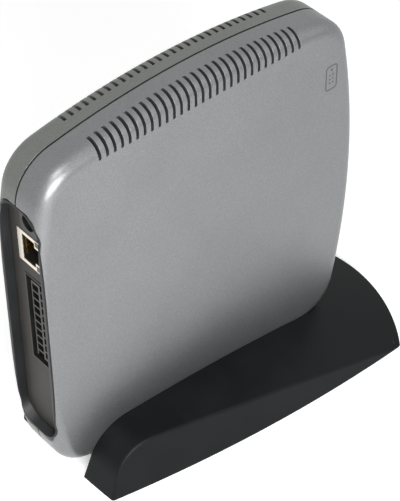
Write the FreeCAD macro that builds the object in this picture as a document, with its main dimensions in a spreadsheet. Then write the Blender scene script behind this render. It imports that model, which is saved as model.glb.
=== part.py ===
import FreeCAD, Part
import math
import os
from FreeCAD import Placement, Rotation, Vector

os.makedirs("parts", exist_ok=True)
doc = FreeCAD.newDocument("media_player")

# Driving dimensions in millimetres, all seen in the row's frame
# +X runs from the connector edge to the nose of the stand, Y across the thin casing, Z up
SIZES = {
    "overall_length": 168.5,
    "player_width": 156.4,
    "player_height": 160.5,
    "player_depth": 25.0,
    "player_lift": 1.6,
    "edge_arc": 305.0,
    "corner_arc": 18.5,
    "face_fillet": 5.5,
    "shell_wall": 2.0,
    "parting_y": 0.9,
    "groove_width": 0.8,
    "groove_depth": 1.0,
    "tongue_reach": 2.2,
    "vent_count": 29,
    "vent_pitch": 3.27,
    "vent_width": 1.25,
    "vent_foot": 152.6,
    "vent_side": 5.8,
    "recess_rim": 5.1,
    "recess_depth": 3.8,
    "recess_half_height": 57.9,
    "recess_half_width": 11.5,
    "recess_corner": 10.5,
    "bezel_flange": 0.5,
    "bezel_flange_half": 12.2,
    "rim_step": 0.8,
    "fit_gap": 0.1,
    "panel_thick": 1.6,
    "panel_half_width": 10.2,
    "panel_half_height": 54.8,
    "board_y": 6.9,
    "board_thick": 1.6,
    "board_rear": -77.05,
    "board_front": 40.85,
    "board_half_height": 55.0,
    "boss_x": 58.0,
    "boss_z": 61.0,
    "boss_radius": 3.5,
    "counterbore_radius": 3.2,
    "counterbore_floor": 5.5,
    "shell_screw_radius": 1.4,
    "shell_screw_tip": -7.0,
    "screw_head_radius": 2.7,
    "screw_head": 1.8,
    "board_screw_inset": 5.0,
    "board_screw_radius": 1.2,
    "board_screw_tip": 10.9,
    "lan_y": -0.4,
    "lan_z": 117.0,
    "lan_width": 15.0,
    "lan_height": 12.8,
    "lan_length": 21.0,
    "lan_skin": 0.4,
    "lan_cavity_width": 11.8,
    "lan_cavity_near": -3.7,
    "lan_cavity_far": 3.2,
    "lan_cavity_depth": 13.0,
    "lan_latch_width": 7.4,
    "lan_latch_near": -6.35,
    "lan_contact_pitch": 1.02,
    "lan_light": 2.2,
    "av_y": -3.05,
    "av_z": 82.5,
    "av_half_width": 6.4,
    "av_half_height": 20.9,
    "av_slot": 1.9,
    "av_slot_depth": 10.0,
    "av_skin": 0.6,
    "av_length": 15.0,
    "av_cell_pitch": 3.81,
    "av_cell_stagger": 1.905,
    "av_column_gap": 4.4,
    "av_cell_height": 3.0,
    "av_cell_width": 3.4,
    "av_cell_depth": 8.0,
    "jack_y": -1.0,
    "jack_z": 130.2,
    "jack_width": 9.6,
    "jack_height": 10.4,
    "jack_length": 14.0,
    "jack_bore": 3.2,
    "jack_pin": 1.0,
    "jack_depth": 9.0,
    "window_z": 130.0,
    "window_height": 15.0,
    "window_width": 7.0,
    "window_thick": 2.2,
    "stand_foot": 0.5,
    "stand_rear": -74.0,
    "rear_bow": 420.0,
    "stand_rear_half": 28.9,
    "stand_rear_corner": 12.0,
    "stand_waist_x": -2.55,
    "stand_waist_half": 41.1,
    "stand_front_half": 44.8,
    "nose_radius": 68.5,
    "side_lean": 15.0,
    "rear_lean": 23.0,
    "ridge_arc": 19.0,
    "top_arc": 800.0,
    "top_crest_x": -88.0,
    "top_crest_z": 22.1,
    "crown_rear_x": -50.0,
    "crown_rear_arc": 475.0,
    "crown_nose_x": 75.0,
    "crown_nose_arc": 157.0,
    "crease_fillet": 1.3,
    "stand_wall": 2.4,
    "slot_gap": 0.2,
    "slot_notch": -64.55,
    "plate_thick": 1.0,
    "stand_boss_radius": 4.0,
    "stand_screw_radius": 1.4,
    "stand_screw_length": 7.0,
    "pad_radius": 5.0,
}

sheet = doc.addObject("Spreadsheet::Sheet", "sizes")
for row, (alias, value) in enumerate(SIZES.items(), start=1):
    sheet.set(f"A{row}", alias)
    sheet.set(f"B{row}", str(value))
    sheet.setAlias(f"B{row}", alias)
doc.recompute()


def size(alias):
    """The value of a driving dimension, read from the sheet."""
    return float(sheet.get(alias))


# Places worked out from the driving dimensions, as expressions for the document
PLAYER_X = "(sizes.player_width / 2 - sizes.overall_length / 2 - sizes.recess_rim)"
PLAYER_Z = "(sizes.player_lift + sizes.player_height / 2)"
RIM_X = "(-sizes.overall_length / 2)"
PANEL_X = f"({RIM_X} + sizes.recess_depth)"
PANEL_BACK = f"({PANEL_X} + sizes.panel_thick)"
FAR_INNER = "(sizes.player_depth / 2 - sizes.shell_wall)"
BOARD_X = "(sizes.board_rear / 2 + sizes.board_front / 2)"

player_x = size("player_width") / 2 - size("overall_length") / 2 - size("recess_rim")
player_z = size("player_lift") + size("player_height") / 2
nose_x = size("overall_length") / 2 - size("nose_radius")

nodes = []


def node(obj, label):
    """Registers a finished piece under the name that its file gets."""
    obj.Label = label
    nodes.append(obj)
    return obj


# Part primitives whose sizes and places are expressions
def bind(obj, **expressions):
    for name, text in expressions.items():
        obj.setExpression(name, str(text))
    return obj


def place(obj, x, y, z):
    for axis, text in zip("xyz", (x, y, z)):
        obj.setExpression(f"Placement.Base.{axis}", str(text))
    return obj


def block(name, low, spans):
    """A box from its low corner and its lengths along X, Y and Z."""
    box = doc.addObject("Part::Box", name)
    bind(box, Length=spans[0], Width=spans[1], Height=spans[2])
    return place(box, *low)


TURNS = {
    "X": Rotation(Vector(0, 1, 0), 90),
    "Y": Rotation(Vector(1, 0, 0), -90),
    "Z": Rotation(),
}


def rod(name, start, axis, radius, length):
    """A cylinder that runs from its start point along a row axis."""
    cylinder = doc.addObject("Part::Cylinder", name)
    cylinder.Placement = Placement(Vector(), TURNS[axis])
    bind(cylinder, Radius=radius, Height=length)
    return place(cylinder, *start)


def cone(name, start, axis, radius_1, radius_2, length):
    solid = doc.addObject("Part::Cone", name)
    solid.Placement = Placement(Vector(), TURNS[axis])
    bind(solid, Radius1=radius_1, Radius2=radius_2, Height=length)
    return place(solid, *start)


def fused(name, items):
    union = doc.addObject("Part::MultiFuse", name)
    union.Shapes = items
    return union


def carved(name, base, tools):
    """The base with every tool taken away."""
    result = doc.addObject("Part::Cut", name)
    result.Base = base
    result.Tool = tools[0] if len(tools) == 1 else fused(name + "_tools", tools)
    return result


def grouped(name, items):
    """Separate solids kept as one node."""
    bunch = doc.addObject("Part::Compound", name)
    bunch.Links = items
    return bunch


# Sketch helpers for the PartDesign bodies
def new_body(label):
    return node(doc.addObject("PartDesign::Body", label), label)


def sketch_on(body, role, name, offset="0"):
    """A sketch on one of the body's own origin planes, moved along the plane's normal."""
    sketch = body.newObject("Sketcher::SketchObject", name)
    plane = [item for item in body.Origin.OriginFeatures if item.Role == role][0]
    sketch.AttachmentSupport = [(plane, "")]
    sketch.MapMode = "FlatFace"
    sketch.setExpression("AttachmentOffset.Base.z", offset)
    return sketch


def join_ends(sketch, first, count):
    """Makes a closed tangent chain of the sketch elements from first on."""
    import Sketcher

    for k in range(count):
        here = first + k
        after = first + (k + 1) % count
        sketch.addConstraint(Sketcher.Constraint("Coincident", here, 2, after, 1))


def add_arc(sketch, centre_x, centre_y, radius, start, end):
    circle = Part.Circle(Vector(centre_x, centre_y, 0), Vector(0, 0, 1), radius)
    return sketch.addGeometry(Part.ArcOfCircle(circle, start, end), False)


def outline_arcs(inset):
    """The eight arcs of the casing outline, drawn inset from it: centre, radius and end angles."""
    half_w = size("player_width") / 2
    half_h = size("player_height") / 2
    side_c = half_w - size("edge_arc")
    top_c = half_h - size("edge_arc")
    reach = size("edge_arc") - size("corner_arc")
    # The corner's centre lies at the same reach from the side arc's and the top arc's centres
    span = math.hypot(side_c, top_c)
    rise = math.sqrt(reach**2 - (span / 2) ** 2)
    corner_x = side_c / 2 - rise * top_c / span
    corner_z = top_c / 2 - rise * side_c / span
    low = math.atan2(corner_z, corner_x - side_c)
    high = math.atan2(corner_z - top_c, corner_x)
    wide = size("edge_arc") - inset
    tight = size("corner_arc") - inset
    half = math.pi
    return [
        (side_c, 0, wide, -low, low),
        (corner_x, corner_z, tight, low, high),
        (0, top_c, wide, high, half - high),
        (-corner_x, corner_z, tight, half - high, half - low),
        (-side_c, 0, wide, half - low, half + low),
        (-corner_x, -corner_z, tight, half + low, half + high),
        (0, -top_c, wide, half + high, 2 * half - high),
        (corner_x, -corner_z, tight, 2 * half - high, 2 * half - low),
    ]


def draw_outline(sketch, inset):
    first = sketch.GeometryCount
    for cx, cz, radius, start, end in outline_arcs(inset):
        add_arc(sketch, player_x + cx, player_z + cz, radius, start, end)
    join_ends(sketch, first, 8)


def draw_rounded(sketch, centre, half_w, half_h, radius):
    """A rounded rectangle about a centre, four lines and four quarter arcs."""
    cx, cy = centre
    first = sketch.GeometryCount
    corners = [(1, 1, 0), (-1, 1, 90), (-1, -1, 180), (1, -1, 270)]
    for side_x, side_y, turn in corners:
        ax = cx + side_x * (half_w - radius)
        ay = cy + side_y * (half_h - radius)
        start = math.radians(turn)
        add_arc(sketch, ax, ay, radius, start, start + math.pi / 2)
        after = math.radians(turn + 90)
        leave = Vector(ax + radius * math.cos(after), ay + radius * math.sin(after), 0)
        next_x, next_y, next_turn = corners[(turn // 90 + 1) % 4]
        bx = cx + next_x * (half_w - radius)
        by = cy + next_y * (half_h - radius)
        begin = math.radians(next_turn)
        arrive = Vector(bx + radius * math.cos(begin), by + radius * math.sin(begin), 0)
        sketch.addGeometry(Part.LineSegment(leave, arrive), False)
    join_ends(sketch, first, 8)


def draw_rectangle(sketch, low, high):
    first = sketch.GeometryCount
    points = [low, (high[0], low[1]), high, (low[0], high[1])]
    for k in range(4):
        a = Vector(*points[k], 0)
        b = Vector(*points[(k + 1) % 4], 0)
        sketch.addGeometry(Part.LineSegment(a, b), False)
    join_ends(sketch, first, 4)


def draw_circle(sketch, x, y, radius):
    sketch.addGeometry(Part.Circle(Vector(x, y, 0), Vector(0, 0, 1), radius), False)


def pad(body, sketch, name, length, reverse=False, symmetric=False):
    feature = body.newObject("PartDesign::Pad", name)
    feature.Profile = sketch
    feature.Reversed = reverse
    if symmetric:
        feature.SideType = "Symmetric"
    feature.setExpression("Length", length)
    return feature


def pocket(body, sketch, name, length, reverse=False, symmetric=False):
    """A pocket against the sketch's normal, or along it when reversed; it must remove material."""
    doc.recompute()
    before = body.Shape.Volume
    feature = body.newObject("PartDesign::Pocket", name)
    feature.Profile = sketch
    feature.Reversed = reverse
    if symmetric:
        feature.SideType = "Symmetric"
    feature.setExpression("Length", length)
    doc.recompute()
    if not body.Shape.Volume < before - 1e-3:
        raise RuntimeError(f"{name} removes nothing")
    return feature


def faces_at(shape, axis, value):
    """Names of the flat faces that lie in the plane where the axis has this value."""
    found = []
    for k, face in enumerate(shape.Faces, start=1):
        box = face.BoundBox
        low = getattr(box, axis + "Min")
        high = getattr(box, axis + "Max")
        if abs(low - value) < 1e-4 and abs(high - value) < 1e-4:
            found.append(f"Face{k}")
    return found


# Casing: two moulded half shells that meet at a narrow groove
FACE = {"near": -1, "far": 1}


def casing_shell(side):
    """One half of the casing: outline pad, rounded face edge, hollow, vents and the rear opening."""
    sign = FACE[side]
    label = f"{side}_shell"
    body = new_body(label)
    open_y = size("parting_y") + sign * size("groove_width") / 2
    face_y = sign * size("player_depth") / 2
    near = side == "near"

    # The sketch plane's normal points along -Y
    edge_offset = f"-(sizes.parting_y + {sign} * sizes.groove_width / 2)"
    outline = sketch_on(body, "XZ_Plane", label + "_outline", edge_offset)
    draw_outline(outline, 0)
    depth = f"sizes.player_depth / 2 - {sign} * sizes.parting_y - sizes.groove_width / 2"
    blank = pad(body, outline, label + "_blank", depth, reverse=not near)
    doc.recompute()

    rounding = body.newObject("PartDesign::Fillet", label + "_rounding")
    rounding.Base = (blank, faces_at(blank.Shape, "Y", face_y))
    rounding.setExpression("Radius", "sizes.face_fillet")
    doc.recompute()

    hollow = body.newObject("PartDesign::Thickness", label + "_hollow")
    hollow.Base = (rounding, faces_at(rounding.Shape, "Y", open_y))
    hollow.setExpression("Value", "sizes.shell_wall")
    hollow.Reversed = True
    doc.recompute()

    if near:
        # A tongue inside the edge reaches into the other shell and closes the groove
        tongue = sketch_on(body, "XZ_Plane", label + "_tongue_sketch", edge_offset)
        draw_outline(tongue, size("groove_depth"))
        draw_outline(tongue, size("shell_wall"))
        pad(body, tongue, label + "_tongue", "sizes.tongue_reach", reverse=True)
    else:
        # The far shell's edge is rebated for the tongue
        rebate = sketch_on(body, "XZ_Plane", label + "_rebate_sketch", edge_offset)
        draw_outline(rebate, size("groove_depth") - size("fit_gap"))
        draw_outline(rebate, size("shell_wall") + size("fit_gap"))
        depth = "sizes.tongue_reach - sizes.groove_width + sizes.fit_gap"
        pocket(body, rebate, label + "_rebate", depth)

    # Screw bosses stand on the inside of the face
    bosses = sketch_on(body, "XZ_Plane", label + "_boss_sketch", f"-({sign} * {FAR_INNER})")
    for side_x in (-1, 1):
        for side_z in (-1, 1):
            x = player_x + side_x * size("boss_x")
            z = player_z + side_z * size("boss_z")
            draw_circle(bosses, x, z, size("boss_radius") + (0 if near else 0.8))
    boss_length = f"sizes.player_depth / 2 - sizes.shell_wall - {sign} * (sizes.parting_y + 0.4)"
    pad(body, bosses, label + "_bosses", boss_length, reverse=near)
    doc.recompute()

    holes = sketch_on(body, "XZ_Plane", label + "_hole_sketch", "-(sizes.parting_y + 0.4)")
    for side_x in (-1, 1):
        for side_z in (-1, 1):
            x = player_x + side_x * size("boss_x")
            z = player_z + side_z * size("boss_z")
            draw_circle(holes, x, z, size("shell_screw_radius") + size("fit_gap") / 2)
    if near:
        depth = "sizes.parting_y + 0.4 - sizes.shell_screw_tip + 0.5"
        pocket(body, holes, label + "_holes", depth, reverse=True)
    else:
        pocket(body, holes, label + "_holes", "sizes.player_depth")
        sinks = sketch_on(body, "XZ_Plane", label + "_sink_sketch", "-sizes.counterbore_floor")
        for side_x in (-1, 1):
            for side_z in (-1, 1):
                x = player_x + side_x * size("boss_x")
                z = player_z + side_z * size("boss_z")
                draw_circle(sinks, x, z, size("counterbore_radius"))
        pocket(body, sinks, label + "_sinks", "sizes.player_depth")

    # Standoffs on the far shell carry the board
    if not near:
        posts = sketch_on(body, "XZ_Plane", label + "_post_sketch", f"-{FAR_INNER}")
        pilots = []
        for x, z in board_screw_places():
            draw_circle(posts, x, z, size("boss_radius"))
            pilots.append((x, z))
        post_length = f"{FAR_INNER} - sizes.board_y - sizes.board_thick"
        pad(body, posts, label + "_posts", post_length)
        doc.recompute()
        pilot_start = "-(sizes.board_y + sizes.board_thick)"
        pilot = sketch_on(body, "XZ_Plane", label + "_pilot_sketch", pilot_start)
        for x, z in pilots:
            draw_circle(pilot, x, z, size("board_screw_radius") + size("fit_gap") / 2)
        pilot_depth = "sizes.board_screw_tip + 0.3 - sizes.board_y - sizes.board_thick"
        pocket(body, pilot, label + "_pilots", pilot_depth)

    # The rear opening: the bulge is cut flat at the rim, then a pocket takes the bezel
    rim = sketch_on(body, "YZ_Plane", label + "_rim_sketch", f"{RIM_X} + sizes.bezel_flange")
    half_width = size("player_depth") / 2 + 0.5
    draw_rounded(rim, (0, player_z), half_width, size("recess_half_height"), size("recess_corner"))
    pocket(body, rim, label + "_rim", "sizes.recess_rim + sizes.bezel_flange + 1")
    seat = sketch_on(body, "YZ_Plane", label + "_seat_sketch", f"{PANEL_BACK} + sizes.fit_gap")
    half_height = size("recess_half_height") - size("rim_step")
    radius = size("recess_corner") - size("rim_step")
    draw_rounded(seat, (0, player_z), size("recess_half_width"), half_height, radius)
    pocket(body, seat, label + "_seat", "sizes.recess_rim + sizes.recess_depth + sizes.panel_thick")

    # The window at the front edge sits half in each shell
    window = sketch_on(body, "YZ_Plane", label + "_window_sketch", "sizes.player_width / 4")
    draw_rounded(
        window,
        (size("parting_y"), size("window_z")),
        size("window_width") / 2 + size("fit_gap"),
        size("window_height") / 2 + size("fit_gap"),
        size("window_width") / 2,
    )
    pocket(body, window, label + "_window", "sizes.player_width / 2", reverse=True)

    # One vent slot wraps the top edge onto the face; the row of them is a pattern
    first_x = f"{PLAYER_X} - (sizes.vent_count - 1) / 2 * sizes.vent_pitch"
    slot = sketch_on(body, "YZ_Plane", label + "_vent_sketch", first_x)
    edges = sorted((sign * size("vent_side"), sign * (size("player_depth") / 2 + 1)))
    top_z = size("player_lift") + size("player_height") + 1
    draw_rectangle(slot, (edges[0], size("vent_foot")), (edges[1], top_z))
    vent = pocket(body, slot, label + "_vent", "sizes.vent_width", symmetric=True)
    row = body.newObject("PartDesign::LinearPattern", label + "_vents")
    row.Originals = [vent]
    axis = [item for item in body.Origin.OriginFeatures if item.Role == "X_Axis"][0]
    row.Direction = (axis, [""])
    row.setExpression("Length", "(sizes.vent_count - 1) * sizes.vent_pitch")
    row.setExpression("Occurrences", "sizes.vent_count")
    body.Tip = row
    doc.recompute()
    return body


def board_screw_places():
    inset = size("board_screw_inset")
    xs = (size("board_rear") + inset + 9, size("board_front") - inset - 7)
    zs = (player_z - size("board_half_height") + inset, player_z + size("board_half_height") - inset)
    return [(x, z) for x in xs for z in zs]


near_shell = casing_shell("near")
far_shell = casing_shell("far")


# Rear bezel: a frame whose inner walls slope from the rim to the connector panel
def rear_bezel():
    body = doc.addObject("PartDesign::Body", "bezel_body")
    gap = size("fit_gap")
    flange = sketch_on(body, "YZ_Plane", "bezel_flange_sketch", f"{RIM_X}")
    tall = size("recess_half_height") - gap
    draw_rounded(flange, (0, player_z), size("bezel_flange_half"), tall, size("recess_corner") - gap)
    pad(body, flange, "bezel_flange", "sizes.bezel_flange - sizes.fit_gap / 2")
    half_width = size("recess_half_width") - gap
    half_height = size("recess_half_height") - size("rim_step") - gap
    radius = size("recess_corner") - size("rim_step") - gap
    frame = sketch_on(body, "YZ_Plane", "bezel_frame", f"{RIM_X}")
    draw_rounded(frame, (0, player_z), half_width, half_height, radius)
    pad(body, frame, "bezel_pad", "sizes.recess_depth")
    doc.recompute()
    mouth = sketch_on(body, "YZ_Plane", "bezel_mouth", f"{RIM_X}")
    draw_rounded(mouth, (0, player_z), half_width - 0.5, half_height - 0.5, radius - 0.5)
    throat = sketch_on(body, "YZ_Plane", "bezel_throat", f"{PANEL_X}")
    half_throat = size("panel_half_width")
    draw_rounded(throat, (0, player_z), half_throat, size("panel_half_height"), radius - 1.5)
    well = body.newObject("PartDesign::SubtractiveLoft", "bezel_well")
    well.Profile = mouth
    well.Sections = [throat]
    well.Ruled = True
    body.Tip = well
    # Its ends follow the rounded surface of the casing
    form = casing_form()
    trimmed = doc.addObject("Part::MultiCommon", "bezel_trimmed")
    trimmed.Shapes = [body, form]
    return node(trimmed, "rear_bezel")


def casing_form():
    """The casing's outer form, a hair smaller than the shells."""
    body = doc.addObject("PartDesign::Body", "casing_form")
    outline = sketch_on(body, "XZ_Plane", "form_outline", "0")
    draw_outline(outline, 0.15)
    blank = pad(body, outline, "form_blank", "sizes.player_depth - 0.3", symmetric=True)
    doc.recompute()
    half = size("player_depth") / 2 - 0.15
    rounding = body.newObject("PartDesign::Fillet", "form_rounding")
    rounding.Base = (blank, faces_at(blank.Shape, "Y", -half) + faces_at(blank.Shape, "Y", half))
    rounding.setExpression("Radius", "sizes.face_fillet")
    body.Tip = rounding
    return body


rear_bezel()


# Connector panel: a plate behind the bezel with an opening for each connector
def connector_panel():
    body = new_body("connector_panel")
    gap = size("fit_gap")
    half_width = size("recess_half_width") - gap
    half_height = size("recess_half_height") - size("rim_step") - gap
    radius = size("recess_corner") - size("rim_step") - gap
    plate = sketch_on(body, "YZ_Plane", "panel_plate", f"{PANEL_X}")
    draw_rounded(plate, (0, player_z), half_width, half_height, radius)
    half_lan = (size("lan_height") / 2 + gap, size("lan_width") / 2 + gap)
    draw_rectangle(
        plate,
        (size("lan_y") - half_lan[0], size("lan_z") - half_lan[1]),
        (size("lan_y") + half_lan[0], size("lan_z") + half_lan[1]),
    )
    half_av = size("av_half_width") + size("av_skin") + gap
    tall_av = size("av_half_height") + size("av_skin") + gap
    draw_rectangle(
        plate,
        (size("av_y") - half_av, size("av_z") - tall_av),
        (size("av_y") + half_av, size("av_z") + tall_av),
    )
    half_jack = (size("jack_width") / 2 + gap, size("jack_height") / 2 + gap)
    draw_rectangle(
        plate,
        (size("jack_y") - half_jack[0], size("jack_z") - half_jack[1]),
        (size("jack_y") + half_jack[0], size("jack_z") + half_jack[1]),
    )
    pad(body, plate, "panel_pad", "sizes.panel_thick")
    return body


connector_panel()


# Network socket: plated shield, plastic insert with the plug cavity, contacts and two lights
def lan_socket():
    front = f"({PANEL_X} - 0.3)"
    half_w = "sizes.lan_width / 2"
    half_h = "sizes.lan_height / 2"
    skin = "sizes.lan_skin"
    inner = [f"sizes.lan_{side} - 2 * {skin}" for side in ("length", "height", "width")]
    can = block(
        "lan_can",
        (front, f"sizes.lan_y - {half_h}", f"sizes.lan_z - {half_w}"),
        ("sizes.lan_length", "sizes.lan_height", "sizes.lan_width"),
    )
    room = block(
        "lan_room",
        (f"{front} + {skin}", f"sizes.lan_y + {skin} - {half_h}", f"sizes.lan_z - {half_w} + {skin}"),
        inner,
    )
    # The shield's open base stands on the board, where the insert's foot comes through
    base = block(
        "lan_base",
        (f"{front} + 4", f"sizes.lan_y + {half_h} - {skin} - 0.2", f"sizes.lan_z - {half_w} + 1.5"),
        ("sizes.lan_length - 5", f"{skin} + 0.4", "sizes.lan_width - 3"),
    )
    cavity_deep = "sizes.lan_cavity_far - sizes.lan_cavity_near"
    mouth = block(
        "lan_mouth",
        (f"{front} - 1", "sizes.lan_cavity_near", "sizes.lan_z - sizes.lan_cavity_width / 2"),
        ("sizes.lan_cavity_depth", cavity_deep, "sizes.lan_cavity_width"),
    )
    latch_deep = "sizes.lan_cavity_near - sizes.lan_latch_near + 0.1"
    latch = block(
        "lan_latch",
        (f"{front} - 1", "sizes.lan_latch_near", "sizes.lan_z - sizes.lan_latch_width / 2"),
        ("sizes.lan_cavity_depth", latch_deep, "sizes.lan_latch_width"),
    )
    lights = []
    lamps = []
    for k, side in enumerate((-1, 1)):
        light_z = f"sizes.lan_z + {side} * (sizes.lan_width / 2 - 0.6 - sizes.lan_light / 2)"
        low_z = f"{light_z} - sizes.lan_light / 2"
        low_y = "sizes.lan_latch_near + 0.25"
        lamps.append(
            block(
                f"lan_light_{k}",
                (f"{front} - 0.1", low_y, low_z),
                (4, "sizes.lan_light * 0.85", "sizes.lan_light"),
            )
        )
        lights.append(
            block(
                f"lan_light_hole_{k}",
                (f"{front} - 1", f"{low_y} - 0.05", f"{low_z} - 0.05"),
                (4.95, "sizes.lan_light * 0.85 + 0.1", "sizes.lan_light + 0.1"),
            )
        )
    node(carved("lan_shield_cut", can, [room, base, mouth, latch, *lights]), "lan_jack_shield")

    body = block(
        "lan_body",
        (f"{front} + {skin}", f"sizes.lan_y + {skin} - {half_h}", f"sizes.lan_z - {half_w} + {skin}"),
        inner,
    )
    foot_y = f"sizes.lan_y + {half_h} - {skin} - 0.1"
    foot = block(
        "lan_foot",
        (f"{front} + 4.1", foot_y, f"sizes.lan_z - {half_w} + 1.6"),
        ("sizes.lan_length - 5.2", f"sizes.board_y - ({foot_y})", "sizes.lan_width - 3.2"),
    )
    # Each contact lies over its own groove in the far wall, and a peg ties it to the groove's floor
    contacts = []
    grooves = []
    x = f"{front} + 1.2"
    wire_y = "sizes.lan_cavity_far - 0.5"
    wall_y = "sizes.lan_cavity_far - 0.1"
    for k in range(8):
        z = f"sizes.lan_z + ({k} - 3.5) * sizes.lan_contact_pitch"
        wire = block(f"lan_wire_{k}", (x, wire_y, f"{z} - 0.2"), (10, 0.45, 0.4))
        peg = block(f"lan_peg_{k}", (f"{front} + 8", wall_y, f"{z} - 0.2"), (3, 0.4, 0.4))
        contacts.append(fused(f"lan_contact_{k}", [wire, peg]))
        grooves.append(block(f"lan_groove_{k}", (f"{x} - 0.1", wall_y, f"{z} - 0.3"), (10.2, 0.4, 0.6)))
    insert = fused("lan_insert", [body, foot])
    node(carved("lan_insert_cut", insert, [mouth, latch, *lights, *grooves]), "lan_jack_insert")
    node(grouped("lan_contact_group", contacts), "lan_contacts")
    node(grouped("lan_light_group", lamps), "lan_lights")


lan_socket()


# Audio and video socket: a housing whose slot runs round an insert with two columns of cells
def av_socket():
    front = f"({PANEL_X} - 0.2)"
    skin = "sizes.av_skin"
    half_w = "sizes.av_half_width"
    half_h = "sizes.av_half_height"
    sleeve = block(
        "av_sleeve",
        (front, f"sizes.av_y - {half_w} - {skin}", f"sizes.av_z - {half_h} - {skin}"),
        ("sizes.av_length", f"2 * ({half_w} + {skin})", f"2 * ({half_h} + {skin})"),
    )
    foot_y = f"sizes.av_y + {half_w} + {skin} - 0.1"
    foot = block(
        "av_foot",
        (f"{PANEL_BACK} + 1", foot_y, f"sizes.av_z - {half_h} - {skin}"),
        (11, f"sizes.board_y - ({foot_y})", f"2 * ({half_h} + {skin})"),
    )
    opening = block(
        "av_opening",
        (f"{front} - 1", f"sizes.av_y - {half_w}", f"sizes.av_z - {half_h}"),
        ("sizes.av_slot_depth + 1", f"2 * {half_w}", f"2 * {half_h}"),
    )
    insert_w = f"({half_w} - sizes.av_slot)"
    insert_h = f"({half_h} - sizes.av_slot)"
    insert = block(
        "av_insert",
        (f"{front} + 0.6", f"sizes.av_y - {insert_w}", f"sizes.av_z - {insert_h}"),
        ("sizes.av_slot_depth", f"2 * {insert_w}", f"2 * {insert_h}"),
    )
    cells = []
    blades = []
    for column, side in enumerate((1, -1)):
        for k in range(10):
            y = f"sizes.av_y + {side} * sizes.av_column_gap / 2"
            row_z = f"sizes.av_z + (4.5 - {k}) * sizes.av_cell_pitch"
            z = f"{row_z} - {side} * sizes.av_cell_stagger / 2"
            cells.append(
                block(
                    f"av_cell_{column}_{k}",
                    (f"{front}", f"{y} - sizes.av_cell_width / 2", f"{z} - sizes.av_cell_height / 2"),
                    ("sizes.av_cell_depth + 0.6", "sizes.av_cell_width", "sizes.av_cell_height"),
                )
            )
            blades.append(
                block(
                    f"av_blade_{column}_{k}",
                    (f"{front} + 2", f"{y} - 0.9", f"{z} - 0.25"),
                    ("sizes.av_cell_depth - 1.4", 1.8, 0.5),
                )
            )
    hollowed = carved("av_hollow", fused("av_block", [sleeve, foot]), [opening])
    filled = fused("av_filled", [hollowed, insert])
    node(carved("av_socket_cut", filled, cells), "av_socket_housing")
    node(grouped("av_blade_group", blades), "av_socket_contacts")


av_socket()


# Power inlet: a housing with a round bore and its centre pin
def power_inlet():
    front = f"({PANEL_X} - 0.2)"
    sleeve = block(
        "jack_sleeve",
        (front, "sizes.jack_y - sizes.jack_width / 2", "sizes.jack_z - sizes.jack_height / 2"),
        ("sizes.jack_length", "sizes.jack_width", "sizes.jack_height"),
    )
    foot_y = "sizes.jack_y + sizes.jack_width / 2 - 0.1"
    foot = block(
        "jack_foot",
        (f"{PANEL_BACK} + 1", foot_y, "sizes.jack_z - sizes.jack_height / 2"),
        (10, f"sizes.board_y - ({foot_y})", "sizes.jack_height"),
    )
    bore_start = (f"{front} - 1", "sizes.jack_y", "sizes.jack_z")
    bore = rod("jack_bore_tool", bore_start, "X", "sizes.jack_bore", "sizes.jack_depth + 1")
    socket = rod("jack_pin_hole", bore_start, "X", "sizes.jack_pin", "sizes.jack_depth + 3")
    node(carved("jack_cut", fused("jack_block", [sleeve, foot]), [bore, socket]), "power_jack_body")
    pin_start = (f"{front} + 3.5", "sizes.jack_y", "sizes.jack_z")
    pin = rod("jack_pin_rod", pin_start, "X", "sizes.jack_pin - 0.03", "sizes.jack_depth - 1.6")
    tip = doc.addObject("Part::Sphere", "jack_pin_tip")
    bind(tip, Radius="sizes.jack_pin - 0.03")
    place(tip, *pin_start)
    node(fused("jack_pin_fused", [pin, tip]), "power_jack_pin")


power_inlet()


# Main board: a plate with four screw holes that carries every circuit part on its near side
def main_board():
    body = new_body("main_board")
    plate = sketch_on(body, "XZ_Plane", "board_sketch", "-(sizes.board_y + sizes.board_thick)")
    half_h = size("board_half_height")
    draw_rectangle(plate, (size("board_rear"), player_z - half_h), (size("board_front"), player_z + half_h))
    for x, z in board_screw_places():
        draw_circle(plate, x, z, size("board_screw_radius") + size("fit_gap"))
    pad(body, plate, "board_pad", "sizes.board_thick")
    return body


main_board()


def on_board(name, x, z, length, height, rise, lift=0):
    """A block on the board's near side, centred at x and z above the casing's centre."""
    low_x = f"{BOARD_X} + {x} - {length} / 2"
    low_y = f"sizes.board_y - {lift} - {rise}"
    low_z = f"{PLAYER_Z} + {z} - {height} / 2"
    return block(name, (low_x, low_y, low_z), (length, rise, height))


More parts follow.
